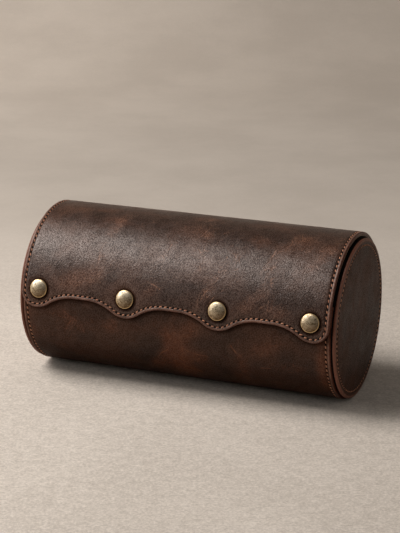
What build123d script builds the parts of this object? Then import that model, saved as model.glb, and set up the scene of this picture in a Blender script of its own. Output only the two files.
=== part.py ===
from build123d import *
from math import acos, cos, degrees, radians, sin, sqrt
import os

# A round leather watch roll that lies on its side, with the flap closed, in millimetres.
# X runs along the roll, the front faces -Y and Z is up. The origin is the middle of the
# narrow flat on the underside, on the table. Angles round the roll are in degrees, measured
# up from the level of its axis at the front, over the top and down the back.

# Body, from the inside out
overall_length = 193.6
wrap_radius = 46.8            # outside of the body's leather
wrap_thickness = 1.6
board_thickness = 2.0
lining_thickness = 0.8
foot_depth = 0.6              # how far the underside is pressed flat
front_lip_angle = 25.0
back_lip_angle = 140.0
binding_thickness = 1.6
binding_rounding = 0.7

# Ends
facing_thickness = 1.7
facing_lift = 0.1             # the facings stop this far above the table
groove_width = 0.9            # between each facing and the side edge of the wrap
end_board_thickness = 2.5
end_board_step = 1.2          # how far the end boards stand in from the wall of the body
facing_chamfer = 0.4

# Flap
flap_clearance = 0.3          # air between the body and the flap
flap_lining_thickness = 0.8
flap_leather_thickness = 1.6
flap_inset = 0.2              # each side edge lies this far in from the edge of the wrap
fold_angle = 48.0             # where the front of the flap bends off the press studs
fold_gap = 0.3                # slit between two pieces of the sheet at a bend
edge_rounding = 0.4
strip_width_angle = 25.0      # how far the glued rear strip reaches down the back

# Scalloped front edge
snap_count = 4
outer_snap_inset = 1.8        # the outer press studs stand this far in from the tips of their lobes
snap_angle = 12.6
lobe_drop = 11.3              # from the middle of a press stud down to the tip of its lobe
lobe_radius = 14.0
shoulder_radius = 28.0        # of the hollow's sides, where they turn into its level crown
scallop_depth = 7.7
corner_radius = 9.2

# Press studs, each on a line out from the roll's axis
cap_radius = 5.35
cap_height = 2.0
cap_rim_height = 0.65
cap_rim_roll = 0.2            # flat across each corner of the rim
cap_bite = 0.1                # how deep the sides of the cap's rim press into the flap
shank_radius = 1.5
shank_bore_radius = 0.9
socket_radius = 3.0
socket_flange_radius = 4.3
socket_flange_thickness = 0.45
socket_web = 0.35
socket_wall = 0.85
socket_lift = 0.05            # the socket's mouth lies this far outside the lining's face
flare_radius = 1.9
flare_thickness = 0.3
stud_flange_radius = 3.9
stud_flange_thickness = 0.4
stud_sink = 0.45              # depth of the stud's seat in the wrap
ball_radius = 1.95
ball_height = 1.5             # above the wrap
neck_radius = 1.55
neck_height = 0.35
stud_bore_radius = 1.25
post_clearance = 0.05
post_flange_radius = 3.5
post_flange_thickness = 0.4
hole_clearance = 0.1

# Dividers and cushions
divider_count = 2
divider_board_thickness = 2.0
divider_cover_thickness = 1.0
divider_end_angle = 18.0      # where its top edge meets the front and back walls
divider_dip = 7.0             # lowest point of the top edge, above the roll's axis
cushion_width = 60.0
cushion_height = 54.0
cushion_cover_thickness = 1.2
cushion_side_gap = 2.0
soft_clearance = 0.3

# Radii worked out from the layers
board_radius = wrap_radius - wrap_thickness
lining_radius = board_radius - board_thickness
room_radius = lining_radius - lining_thickness
flap_inner_radius = wrap_radius + flap_clearance
flap_seam_radius = flap_inner_radius + flap_lining_thickness
flap_radius = flap_seam_radius + flap_leather_thickness
axis_height = wrap_radius - foot_depth
facing_radius = axis_height - facing_lift
end_board_radius = board_radius - end_board_step

# Heights along a press stud's line, counted out from the roll's axis
cap_seat = sqrt(flap_radius**2 - (cap_radius + hole_clearance) ** 2) - cap_bite
web_face = cap_seat - socket_web
flare_face = web_face - flare_thickness
socket_mouth = flap_inner_radius + socket_lift
stud_seat = wrap_radius - stud_sink
stud_flange_top = stud_seat + stud_flange_thickness
neck_top = wrap_radius + neck_height
ball_top = wrap_radius + ball_height
post_flange_top = lining_radius + post_flange_thickness
cavity_radius = socket_radius - socket_wall
post_radius = stud_bore_radius - post_clearance

# Stations along the roll, each counted out from the middle
facing_inner = overall_length / 2 - facing_thickness
wrap_half = facing_inner - groove_width
flap_half = wrap_half - flap_inset
board_half = facing_inner - end_board_thickness
room_half = board_half - lining_thickness
divider_thickness = divider_board_thickness + 2 * divider_cover_thickness
place_length = (2 * room_half - divider_count * divider_thickness) / (divider_count + 1)
place_pitch = place_length + divider_thickness
cushion_half = place_length / 2 - cushion_side_gap
cushion_level = -room_radius + soft_clearance + cushion_height / 2

# The body is open between the lips, so its walls run the other way round
wall_start = back_lip_angle
wall_end = 360 + front_lip_angle
binding_turn = binding_thickness / radians(1) / wrap_radius
slit_turn = fold_gap / 2 / radians(1) / flap_radius
strip_end_angle = back_lip_angle + strip_width_angle

# The outer lobes run straight into the rounded corners of the flap
lobe_pitch = 2 * (flap_half - corner_radius) / (snap_count - 1)
lobe_places = [lobe_pitch * (n - (snap_count - 1) / 2) for n in range(snap_count)]
snap_places = [
    lobe_places[0] + outer_snap_inset,
    *lobe_places[1:-1],
    lobe_places[-1] - outer_snap_inset,
]
divider_places = {"left": -place_pitch / 2, "right": place_pitch / 2}
cushion_places = {"left": -place_pitch, "middle": 0.0, "right": place_pitch}
end_sides = {"left": -1, "right": 1}

# A cut across the roll, whose local x points to the front and whose local y points up
across = Plane(origin=(0, 0, axis_height), x_dir=(0, -1, 0), z_dir=(-1, 0, 0))


def cut_at(station):
    """The plane across the roll at a station along it."""
    return Plane(origin=(station, 0, axis_height), x_dir=(0, -1, 0), z_dir=(-1, 0, 0))


def snap_seat(place, radius):
    """The plane square to a press stud's line, at a distance from the roll's axis."""
    outward = (0, -cos(radians(snap_angle)), sin(radians(snap_angle)))
    seat = (place, outward[1] * radius, axis_height + outward[2] * radius)
    return Plane(origin=seat, x_dir=(1, 0, 0), z_dir=outward)


def snap_seats(radius):
    """The seats of all the press studs at one distance from the roll's axis."""
    return [Location(snap_seat(place, radius)) for place in snap_places]


def curved_section(inner, outer, start, end):
    """Section of a curved wall round the roll's axis between two angles."""
    with BuildSketch() as section:
        with BuildLine():
            outside = CenterArc((0, 0), outer, start, end - start)
            inside = CenterArc((0, 0), inner, start, end - start)
            Line(outside @ 0, inside @ 0)
            Line(outside @ 1, inside @ 1)
        make_face()
    return section.sketch


def curved_wall(inner, outer, start, end, half_length):
    """A curved wall that reaches equally far both ways along the roll."""
    with BuildPart() as wall:
        with BuildSketch(across):
            add(curved_section(inner, outer, start, end))
        extrude(amount=half_length, both=True)
    return wall.part


def round_rims(piece, radius):
    """Round the side rims of a curved wall, on its outside only."""
    rims = piece.edges().filter_by(GeomType.CIRCLE)
    outer_rims = rims.filter_by(lambda rim: abs(rim.radius - radius) < edge_rounding)
    fillet(outer_rims, edge_rounding)


def finish(piece, name):
    """Label a finished piece and write its file."""
    piece.part.label = name
    export_step(piece.part, f"parts/{name}.step")


os.makedirs("parts", exist_ok=True)

# ---------------------------------------------------------------- body

with BuildPart() as body_board:
    add(curved_wall(lining_radius, board_radius, wall_start, wall_end, board_half))
    with Locations(*snap_seats(post_flange_top)):
        Cylinder(
            post_flange_radius + hole_clearance,
            board_thickness,
            align=(Align.CENTER, Align.CENTER, Align.MAX),
            mode=Mode.SUBTRACT,
        )
        Cylinder(stud_bore_radius + hole_clearance, 4 * board_thickness, mode=Mode.SUBTRACT)
finish(body_board, "body_board")

with BuildPart() as outer_wrap:
    add(curved_wall(board_radius, wrap_radius, wall_start, wall_end, wrap_half))
    round_rims(outer_wrap, wrap_radius)
    # the underside is pressed flat where the roll rests
    split(bisect_by=Plane.XY, keep=Keep.TOP)
    with Locations(*snap_seats(wrap_radius - stud_sink)):
        Cylinder(
            stud_flange_radius + hole_clearance,
            stud_sink + foot_depth,
            align=(Align.CENTER, Align.CENTER, Align.MIN),
            mode=Mode.SUBTRACT,
        )
        Cylinder(stud_bore_radius + hole_clearance, 4 * wrap_thickness, mode=Mode.SUBTRACT)
finish(outer_wrap, "outer_wrap")

# The lining is glued in last, over the flanges of the rivet posts
with BuildPart() as body_lining:
    add(curved_wall(room_radius, lining_radius, wall_start, wall_end, board_half))
finish(body_lining, "body_lining")

lips = {
    "front_lip_binding": (front_lip_angle, front_lip_angle + binding_turn),
    "back_lip_binding": (back_lip_angle - binding_turn, back_lip_angle),
}
for name, (start, end) in lips.items():
    with BuildPart() as lip_binding:
        add(curved_wall(room_radius, wrap_radius, start, end, board_half))
        flat_faces = lip_binding.faces().filter_by(GeomType.PLANE)
        mouth_face = flat_faces.filter_by(Axis.X, reverse=True).sort_by(Axis.Z)[-1]
        fillet(mouth_face.edges().filter_by(Axis.X), binding_rounding)
    finish(lip_binding, name)

# ---------------------------------------------------------------- ends

for name, side in end_sides.items():
    inward = Plane(
        origin=(side * facing_inner, 0, axis_height), x_dir=(0, 1, 0), z_dir=(-side, 0, 0)
    )

    with BuildPart() as end_board:
        with BuildSketch(inward):
            Circle(end_board_radius)
        extrude(amount=end_board_thickness)
    finish(end_board, f"end_board_{name}")

    with BuildPart() as end_facing:
        with BuildSketch(inward):
            Circle(facing_radius)
        extrude(amount=-facing_thickness)
        outer_face = end_facing.faces().sort_by(Axis((0, 0, 0), (side, 0, 0)))[-1]
        chamfer(outer_face.edges(), facing_chamfer)
    finish(end_facing, f"end_facing_{name}")

    with BuildPart() as end_lining:
        with BuildSketch(inward.offset(end_board_thickness)):
            Circle(room_radius)
        extrude(amount=lining_thickness)
    finish(end_lining, f"end_lining_{name}")

# ---------------------------------------------------------------- dividers


def divider_section(drop):
    """Outline of a divider, with its top edge lowered by a drop."""
    end_angle = divider_end_angle - drop / radians(1) / room_radius
    with BuildSketch() as section:
        with BuildLine():
            bed = CenterArc((0, 0), room_radius, 180 - end_angle, 180 + 2 * end_angle)
            ThreePointArc(bed @ 1, (0, divider_dip - drop), bed @ 0)
        make_face()
    return section.sketch


for name, place in divider_places.items():
    with BuildPart() as divider_board:
        with BuildSketch(cut_at(place)):
            add(divider_section(divider_cover_thickness))
        extrude(amount=divider_board_thickness / 2, both=True)
    finish(divider_board, f"divider_board_{name}")

    with BuildPart() as divider_cover:
        with BuildSketch(cut_at(place)):
            add(divider_section(0))
        extrude(amount=divider_thickness / 2, both=True)
        add(divider_board.part, mode=Mode.SUBTRACT)
    finish(divider_cover, f"divider_cover_{name}")

# ---------------------------------------------------------------- flap

flap_start = fold_angle + slit_turn
flap_end = back_lip_angle - slit_turn

with BuildPart() as flap_leather:
    add(curved_wall(flap_seam_radius, flap_radius, flap_start, flap_end, flap_half))
    round_rims(flap_leather, flap_radius)
finish(flap_leather, "flap_leather")

with BuildPart() as flap_lining:
    add(curved_wall(flap_inner_radius, flap_seam_radius, flap_start, flap_end, flap_half))
finish(flap_lining, "flap_lining")

# The rear strip of the flap is glued and sewn to the back of the body
strip_start = back_lip_angle + slit_turn

with BuildPart() as hinge_strip:
    add(curved_wall(flap_seam_radius, flap_radius, strip_start, strip_end_angle, flap_half))
    round_rims(hinge_strip, flap_radius)
finish(hinge_strip, "hinge_strip")

with BuildPart() as hinge_strip_lining:
    add(curved_wall(wrap_radius, flap_seam_radius, strip_start, strip_end_angle, flap_half))
finish(hinge_strip_lining, "hinge_strip_lining")

# ---------------------------------------------------------------- scalloped front of the flap

snap_level = flap_radius * sin(radians(snap_angle))
lobe_level = snap_level - lobe_drop
crown_level = lobe_level + scallop_depth
lobe_middle = lobe_level + lobe_radius
shoulder_middle = crown_level - shoulder_radius
# A lobe's arc and its shoulder's arc share a tangent, at this many degrees round from level
arc_turn = degrees(acos(1 - scallop_depth / (lobe_radius + shoulder_radius)))
side_reach = (lobe_radius + shoulder_radius) * sin(radians(arc_turn))


def scallop_outline():
    """Outline of the flap's front seen from the front, above its scalloped edge."""
    corner_middle = lobe_level + corner_radius
    with BuildSketch() as outline:
        with BuildLine():
            CenterArc((lobe_places[0], corner_middle), corner_radius, 180, 90)
            for left, right in zip(lobe_places[:-1], lobe_places[1:]):
                rise_end = left + side_reach
                fall_start = right - side_reach
                CenterArc((left, lobe_middle), lobe_radius, 270, arc_turn)
                CenterArc((rise_end, shoulder_middle), shoulder_radius, 90 + arc_turn, -arc_turn)
                Line((rise_end, crown_level), (fall_start, crown_level))
                CenterArc((fall_start, shoulder_middle), shoulder_radius, 90, -arc_turn)
                CenterArc((right, lobe_middle), lobe_radius, 270 - arc_turn, arc_turn)
            CenterArc((lobe_places[-1], corner_middle), corner_radius, 270, 90)
            Polyline(
                (flap_half, corner_middle),
                (flap_half, flap_radius),
                (-flap_half, flap_radius),
                (-flap_half, corner_middle),
            )
        make_face()
    return outline.sketch


def scalloped_wall(inner, outer):
    """The curved front of the flap between two radii, cut to the scalloped outline."""
    facing_front = Plane(origin=(0, 0, axis_height), x_dir=(1, 0, 0), z_dir=(0, -1, 0))
    fold_end = fold_angle - slit_turn
    with BuildPart() as wall:
        add(curved_wall(inner, outer, -snap_angle, fold_end, flap_half))
        with BuildSketch(facing_front):
            add(scallop_outline())
        extrude(amount=2 * outer, mode=Mode.INTERSECT)
    return wall.part


with BuildPart() as flap_front_leather:
    add(scalloped_wall(flap_seam_radius, flap_radius))
    outer_face = flap_front_leather.faces().filter_by(GeomType.CYLINDER).sort_by(SortBy.AREA)[-1]
    fold_edge = outer_face.edges().sort_by(Axis.Z)[-1]
    cut_edges = outer_face.edges().filter_by(lambda edge: edge != fold_edge)
    fillet(cut_edges, edge_rounding)
    with Locations(*snap_seats(cap_seat)):
        Cylinder(
            cap_radius + hole_clearance,
            2 * flap_leather_thickness,
            align=(Align.CENTER, Align.CENTER, Align.MIN),
            mode=Mode.SUBTRACT,
        )
        Cylinder(socket_radius + hole_clearance, 4 * flap_leather_thickness, mode=Mode.SUBTRACT)
finish(flap_front_leather, "flap_front_leather")

with BuildPart() as flap_front_lining:
    add(scalloped_wall(flap_inner_radius, flap_seam_radius))
    with Locations(*snap_seats(flap_inner_radius)):
        Cylinder(
            socket_flange_radius + hole_clearance,
            4 * flap_lining_thickness,
            mode=Mode.SUBTRACT,
        )
finish(flap_front_lining, "flap_front_lining")

# ---------------------------------------------------------------- press studs

def turned(outline):
    """A piece turned about its own line from (radius, height) corners joined by lines."""
    with BuildPart() as piece:
        with BuildSketch(Plane.XZ):
            with BuildLine():
                Polyline(*outline, close=True)
            make_face()
        revolve(axis=Axis.Z)
    return piece.part


def placed_four(shape):
    """One copy of a turned shape on the line of each press stud."""
    with BuildPart() as copies:
        with Locations(*snap_seats(0)):
            add(shape)
    return copies.part


# The dome is part of a ball that meets the rim's top face
dome_reach = cap_radius - 2 * cap_rim_roll
dome_rise = cap_height - cap_rim_height
dome_radius = (dome_reach**2 + dome_rise**2) / (2 * dome_rise)
dome_centre = cap_seat + cap_height - dome_radius

with BuildPart() as cap_shape:
    with BuildSketch(Plane.XZ):
        with BuildLine():
            dome_foot = (dome_reach, cap_seat + cap_rim_height)
            dome_mid = (dome_reach / 2, dome_centre + sqrt(dome_radius**2 - dome_reach**2 / 4))
            crown = (0, cap_seat + cap_height)
            ThreePointArc(crown, dome_mid, dome_foot)
            Polyline(
                dome_foot,
                (cap_radius - cap_rim_roll, cap_seat + cap_rim_height),
                (cap_radius, cap_seat + cap_rim_height - cap_rim_roll),
                (cap_radius, cap_seat + cap_rim_roll),
                (cap_radius - cap_rim_roll, cap_seat),
                (shank_radius, cap_seat),
                (shank_radius, web_face),
                (flare_radius, web_face),
                (flare_radius, flare_face),
                (shank_bore_radius, flare_face),
                (shank_bore_radius, cap_seat),
                (0, cap_seat),
                crown,
            )
        make_face()
    revolve(axis=Axis.Z)

with BuildPart() as snap_caps:
    add(placed_four(cap_shape.part))
finish(snap_caps, "snap_caps")

with BuildPart() as snap_sockets:
    add(
        placed_four(
            turned(
                [
                    (cavity_radius, socket_mouth),
                    (socket_flange_radius, socket_mouth),
                    (socket_flange_radius, socket_mouth + socket_flange_thickness),
                    (socket_radius, socket_mouth + socket_flange_thickness),
                    (socket_radius, cap_seat),
                    (shank_radius + post_clearance, cap_seat),
                    (shank_radius + post_clearance, web_face),
                    (cavity_radius, web_face),
                ]
            )
        )
    )
finish(snap_sockets, "snap_sockets")

with BuildPart() as stud_shape:
    with BuildSketch(Plane.XZ):
        with BuildLine():
            ball_side = (ball_radius, (neck_top + ball_top) / 2)
            ball_crown = (stud_bore_radius, ball_top)
            ThreePointArc((neck_radius, neck_top), ball_side, ball_crown)
            Polyline(
                ball_crown,
                (stud_bore_radius, stud_seat),
                (stud_flange_radius, stud_seat),
                (stud_flange_radius, stud_flange_top),
                (neck_radius, stud_flange_top),
                (neck_radius, neck_top),
            )
        make_face()
    revolve(axis=Axis.Z)

with BuildPart() as snap_studs:
    add(placed_four(stud_shape.part))
finish(snap_studs, "snap_studs")

with BuildPart() as snap_posts:
    add(
        placed_four(
            turned(
                [
                    (0, lining_radius),
                    (post_flange_radius, lining_radius),
                    (post_flange_radius, post_flange_top),
                    (post_radius, post_flange_top),
                    (post_radius, ball_top),
                    (0, ball_top),
                ]
            )
        )
    )
finish(snap_posts, "snap_posts")

# ---------------------------------------------------------------- cushions


def cushion_section(inset):
    """Oval section of a watch cushion, drawn in from its outside by an inset."""
    with BuildSketch() as section:
        with Locations((0, cushion_level)):
            Ellipse(cushion_width / 2 - inset, cushion_height / 2 - inset)
    return section.sketch


for name, place in cushion_places.items():
    with BuildPart() as cushion_pad:
        with BuildSketch(cut_at(place)):
            add(cushion_section(cushion_cover_thickness))
        extrude(amount=cushion_half - cushion_cover_thickness, both=True)
    finish(cushion_pad, f"cushion_pad_{name}")

    with BuildPart() as cushion_sleeve:
        with BuildSketch(cut_at(place)):
            add(cushion_section(0))
            add(cushion_section(cushion_cover_thickness), mode=Mode.SUBTRACT)
        extrude(amount=cushion_half - cushion_cover_thickness, both=True)
    finish(cushion_sleeve, f"cushion_sleeve_{name}")

    with BuildPart() as cushion_ends:
        for side in end_sides.values():
            near_face = place + side * (cushion_half - cushion_cover_thickness)
            with BuildSketch(cut_at(near_face)):
                add(cushion_section(0))
            extrude(amount=-side * cushion_cover_thickness)
    finish(cushion_ends, f"cushion_ends_{name}")
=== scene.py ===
import math

import bmesh
import bpy
import numpy as np
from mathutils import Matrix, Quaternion, Vector
from mathutils.bvhtree import BVHTree


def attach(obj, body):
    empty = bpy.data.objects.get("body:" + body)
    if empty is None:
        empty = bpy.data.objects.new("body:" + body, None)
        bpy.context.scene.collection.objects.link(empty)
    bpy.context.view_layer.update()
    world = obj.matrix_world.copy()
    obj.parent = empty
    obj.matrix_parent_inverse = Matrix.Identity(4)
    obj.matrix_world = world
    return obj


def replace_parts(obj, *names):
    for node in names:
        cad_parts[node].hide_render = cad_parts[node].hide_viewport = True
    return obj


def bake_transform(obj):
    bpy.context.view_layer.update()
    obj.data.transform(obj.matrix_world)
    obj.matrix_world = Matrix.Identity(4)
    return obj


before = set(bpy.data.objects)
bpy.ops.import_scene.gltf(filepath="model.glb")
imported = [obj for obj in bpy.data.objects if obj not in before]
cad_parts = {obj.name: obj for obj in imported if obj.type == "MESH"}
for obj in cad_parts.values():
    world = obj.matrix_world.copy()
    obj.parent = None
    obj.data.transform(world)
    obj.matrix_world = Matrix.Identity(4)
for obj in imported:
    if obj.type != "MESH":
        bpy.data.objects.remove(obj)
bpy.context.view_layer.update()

# A round leather watch roll that lies on its side. Lengths are in millimetres until a mesh is
# made. Angles go round the roll in degrees, from the level of its axis at the front, over the
# top and down the back. A place on a hide is a station along the roll and a distance round it.
MM = 0.001
AXIS = 46.2
WRAP_RADIUS, BOARD_RADIUS, LINING_RADIUS, ROOM_RADIUS = 46.8, 45.2, 43.2, 42.4
FLAP_SEAM, FLAP_RADIUS = 47.9, 49.5
WRAP_HALF, FLAP_HALF, BOARD_HALF = 94.2, 94.0, 92.6
FACING_INNER, FACING_OUTER, FACING_RADIUS = 95.1, 96.8, 46.1
FRONT_LIP, BACK_LIP, FOLD, STRIP_END = 25.0, 140.0, 48.0, 165.0
SEAM = 122.0  # where the front and rear halves of the flap's mesh meet
SNAPS = [-83.0, -28.27, 28.27, 83.0]
LOBES = [-84.8, -28.27, 28.27, 84.8]
SNAP_ANGLE = 12.6
CAP_SEAT = 49.1  # distance from the axis to the foot of a press stud's cap
LOBE_LEVEL = FLAP_RADIUS * math.sin(math.radians(SNAP_ANGLE)) - 11.3
LOBE_RADIUS, SHOULDER_RADIUS, SCALLOP_DEPTH, CORNER_RADIUS = 14.0, 28.0, 7.7, 9.2
SIDES = {"left": -1, "right": 1}
DIVIDERS = {"left": -31.27, "right": 31.27}
CUSHIONS = {"left": -62.53, "middle": 0.0, "right": 62.53}
CUSHION_LEVEL = -15.1
CUSHION_SEAM = 23.0  # from the middle of a cushion to each of its end seams
SIDE_STITCH, WRAP_STITCH, FACING_STITCH = 2.15, 2.6, 42.2
STITCH_PITCH, FACING_PITCH = 3.03, 2.9
STITCH_DEPTH = 0.31  # the stitches have pulled down into the leather this far
FACING_STITCH_DEPTH = 0.16
STITCH_FLOOR = 0.42  # the body's stitches stay this far above the floor
FACE_DEPTH = 0.9  # a sheet's face and the round of its cut edge are no deeper than this
PLAIN = 10.0  # distance from a cut edge at which leather is plain

# Where the hide is marked: station, degrees round, half length, half width and lean of a patch,
# then how much redder, how much darker and how full of hairline scratches it is. The long dark
# bands along the top of the flap are painted shade.
FLAP_MARKS = [
    (-44, 71, 13, 3.5, 82, 0.28, 0, 0.5), (-51, 25, 11, 7, 25, 0.36, 0, 0.45),
    (-66, 20, 9, 5, 20, 0.25, 0, 0.2), (-47, 40, 9, 2.5, 95, 0.1, 0, 0.6),
    (-75, 68, 16, 7, 0, 0.2, 0.35, 0.1), (-62, 84, 20, 5, 10, 0.35, 0, 0.1),
    (-38, 27, 8, 5, 60, 0, 0.5, 0), (-28, 74, 16, 5, -25, 0, 0.75, 0),
    (-10, 62, 9, 3, 110, 0.16, 0, 0.6), (-9, 44, 12, 3, 65, 0.1, 0, 0.7),
    (-12, 22, 9, 4, 20, 0.3, 0, 0.4), (4, 24, 14, 5, 10, 0, 0.6, 0),
    (10, 74, 15, 5, 105, 0.26, 0, 0.45), (13, 50, 12, 4, 100, 0.1, 0, 0.55),
    (25, 70, 14, 6, -20, 0, 0.7, 0), (20, 22, 12, 4, 60, 0.36, 0, 0.6),
    (26, 40, 12, 4, 60, 0, 0.25, 0.5), (35.5, 42, 8, 2, 100, 0.1, 0, 0.7),
    (54, 45, 16, 3, 95, 0.1, 0, 0.7), (48, 22, 12, 5, 45, 0.45, 0, 0.5),
    (60, 62, 12, 4, 65, 0.2, 0, 0.4), (52, 73, 12, 5, -30, 0, 0.6, 0),
    (63, 18, 9, 5, -10, 0.34, 0, 0.3), (75, 27, 13, 5, 10, 0, 0.65, 0),
    (80, 55, 14, 4, 70, 0.2, 0, 0.4), (88, 72, 10, 6, 60, 0.35, 0, 0.4),
    (70, 76, 12, 5, 60, 0.3, 0, 0.35), (-5, 87, 30, 4, 4, 0.3, 0, 0.15),
    # painted shade: long dark bands along the top of the flap, at 79 and 93 degrees round
    (0, 79, 130, 8, 0, 0, 0.4, 0), (5, 93, 110, 6, 0, 0, 0.35, 0),
    (35, 68, 60, 6, -4, 0.14, 0, 0.3), (45, 23, 45, 7, 0, 0, 0.28, 0),
]
WRAP_MARKS = [
    (1, -24, 16, 8, 92, 0.52, 0, 0.6), (-9, -32, 12, 5, 55, 0.35, 0, 0.4),
    (14, -24, 12, 5, -25, 0.35, 0, 0.4), (10, -6, 8, 4, 60, 0.3, 0, 0.35),
    (6, -42, 8, 8, 80, 0.35, 0, 0.25), (-66, -7, 10, 5, -30, 0.15, 0, 0.5),
    (-58, -14, 16, 6, 20, 0.25, 0, 0.3), (-38, -8, 7, 5, 60, 0.3, 0, 0.35),
    (-75, -22, 14, 9, 0, 0.05, 0.15, 0.1), (41, -25, 14, 3, 95, 0.22, 0, 0.55),
    (58, -10, 12, 5, 30, 0.25, 0, 0.35), (68, -25, 12, 3, 5, 0.25, 0, 0.7),
    (89, -20, 20, 4, 90, 0.55, 0, 0.3), (-91, -18, 24, 3.5, 90, 0.3, 0, 0.2),
    (18, -12, 10, 6, 10, 0, 0.35, 0), (-22, -14, 12, 6, 0, 0, 0.3, 0),
    (70, -16, 12, 7, 20, 0, 0.35, 0),
]

# Scratches as bends of a line: station, degrees round.
FLAP_LINES = [
    [(-7, 54), (-9.5, 46), (-13.5, 37)], [(11, 68), (13.4, 48)], [(31, 54), (36, 45), (33, 36)],
    [(27, 50), (24.6, 31), (18, 19)], [(54.6, 62), (54, 45), (52, 31), (44, 20)],
    [(-47, 48), (-48, 36)], [(-10.4, 64), (-8, 57)], [(-15.5, 25), (-8, 22)], [(31, 27), (22, 16)],
    [(-44, 76), (-45, 60)],
]
WRAP_LINES = [
    [(53, -28), (66, -23.5), (76, -27.5)], [(36, -12), (41, -22), (41, -31)],
    [(0, -12), (5, -19), (20, -26)], [(-3, -22), (-14, -36), (-19, -48)], [(0, -24), (6, -32)],
    [(4, -35), (14, -44)], [(-68, -2), (-60, -10)], [(-60, -3), (-66, -14)],
    [(-40, -4), (-36, -10)],
]


def srgb(r, g, b):
    """A colour written 0 to 255 as the linear values the nodes take."""
    parts = [v / 255 / 12.92 if v < 10.3 else ((v / 255 + 0.055) / 1.055) ** 2.4 for v in (r, g, b)]
    return (*parts, 1.0)


def add_node(tree, kind, inputs=None, **settings):
    """A node with its settings made and its inputs linked or set."""
    made = tree.nodes.new(kind)
    for key, value in settings.items():
        setattr(made, key, value)
    for key, value in (inputs or {}).items():
        if isinstance(value, bpy.types.NodeSocket):
            tree.links.new(value, made.inputs[key])
        else:
            made.inputs[key].default_value = value
    return made


def added(name, data):
    """A new object in the scene, at the origin."""
    made = bpy.data.objects.new(name, data)
    bpy.context.scene.collection.objects.link(made)
    return made


def modified(obj):
    """The mesh that an object's modifiers make of it."""
    graph = bpy.context.evaluated_depsgraph_get()
    return bpy.data.meshes.new_from_object(obj.evaluated_get(graph), depsgraph=graph)


def store(mesh, name, values):
    """Store a number or a vector at each point of a mesh, for a node tree to read."""
    values = np.asarray(values, np.float32)
    kind, key = ("FLOAT", "value") if values.ndim == 1 else ("FLOAT_VECTOR", "vector")
    mesh.attributes.new(name, kind, "POINT").data.foreach_set(key, values.ravel())


# ---------------------------------------------------------------- finishes


class Finish:
    """A material and the few calls that its node tree needs."""

    def __init__(self, name):
        self.material = bpy.data.materials.new(name)
        self.material.use_nodes = True
        self.tree = self.material.node_tree
        self.tree.nodes.clear()
        self.shader = self.node("BsdfPrincipled")
        out = self.node("OutputMaterial")
        self.tree.links.new(self.shader.outputs[0], out.inputs["Surface"])

    def node(self, kind, inputs=None, **settings):
        return add_node(self.tree, "ShaderNode" + kind, inputs, **settings)

    def place(self):
        """Where a point is in the object."""
        return self.node("TexCoord").outputs["Object"]

    def kept(self, name, out="Vector"):
        """What the mesh keeps at a point."""
        return self.node("Attribute", attribute_name=name).outputs[out]

    def turned(self, vector, scale=(1, 1, 1), angle=0.0, shift=(0, 0, 0)):
        """The place scaled, then turned, then moved."""
        inputs = {"Vector": vector, "Scale": scale, "Rotation": (0, 0, angle), "Location": shift}
        return self.node("Mapping", inputs).outputs[0]

    def stretched(self, vector, angle, along):
        """The place drawn out along a direction on the hide."""
        inputs = {"Vector": vector, "Rotation": (0, 0, angle), "Scale": (along, 1, 1)}
        return self.node("Mapping", inputs, vector_type="TEXTURE").outputs[0]

    def noise(self, vector, scale, detail=3.0, rough=0.5, bend=0.0, out="Fac"):
        inputs = {"Vector": vector, "Scale": scale, "Detail": detail, "Roughness": rough}
        return self.node("TexNoise", {**inputs, "Distortion": bend}).outputs[out]

    def steps(self, value, low, high, to_low=0.0, to_high=1.0, kind="SMOOTHSTEP"):
        """A value eased from one range to another, and held at its ends."""
        inputs = {"Value": value, "From Min": low, "From Max": high}
        inputs.update({"To Min": to_low, "To Max": to_high})
        return self.node("MapRange", inputs, interpolation_type=kind).outputs[0]

    def number(self, kind, a, b=0.0):
        return self.node("Math", {0: a, 1: b}, operation=kind).outputs[0]

    def plus(self, a, b):
        return self.number("ADD", a, b)

    def times(self, a, b):
        return self.number("MULTIPLY", a, b)

    def mixed(self, *parts):
        """Values added up, each by its share."""
        total = None
        for value, share in parts:
            part = self.times(value, share)
            total = part if total is None else self.plus(total, part)
        return total

    def vector(self, kind, a, b=None):
        inputs = {0: a}
        if b is not None:
            inputs["Scale" if kind == "SCALE" else 1] = b
        out = "Value" if kind in ("DOT_PRODUCT", "LENGTH", "DISTANCE") else "Vector"
        return self.node("VectorMath", inputs, operation=kind).outputs[out]

    def level_lines(self, value, wide):
        """Thin lines where a value passes its middle."""
        off = self.number("ABSOLUTE", self.number("SUBTRACT", value, 0.5))
        return self.steps(off, 0.0, wide, 1.0, 0.0)

    def drawn_lines(self, place, bends, wide):
        """Thin lines from bend to bend, given as points of the hide."""
        nearest = 1.0
        for line in bends:
            for start, end in zip(line[:-1], line[1:]):
                start, way = Vector(start), Vector(end) - Vector(start)
                off = self.vector("SUBTRACT", place, start)
                share = self.vector("DOT_PRODUCT", off, way / way.length_squared)
                foot = self.vector("SCALE", way, self.steps(share, 0.0, 1.0, kind="LINEAR"))
                nearest = self.number("MINIMUM", nearest, self.vector("DISTANCE", off, foot))
        return self.steps(nearest, wide * 0.3, wide, 1.0, 0.0)

    def blend(self, share, a, b, kind="MIX"):
        inputs = {0: share, 6: a, 7: b}
        return self.node("Mix", inputs, data_type="RGBA", blend_type=kind).outputs[2]

    def bump(self, height, distance, strength=1.0, under=None):
        inputs = {"Height": height, "Distance": distance, "Strength": strength}
        if under is not None:
            inputs["Normal"] = under
        return self.node("Bump", inputs).outputs[0]

    def finish(self, colour, rough, **more):
        """Link or set the shader's sockets, and give the material."""
        sockets = {"Base Color": colour, "Roughness": rough}
        sockets.update((key.replace("_", " "), value) for key, value in more.items())
        for key, value in sockets.items():
            if isinstance(value, bpy.types.NodeSocket):
                self.tree.links.new(value, self.shader.inputs[key])
            else:
                self.shader.inputs[key].default_value = value
        return self.material


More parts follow.
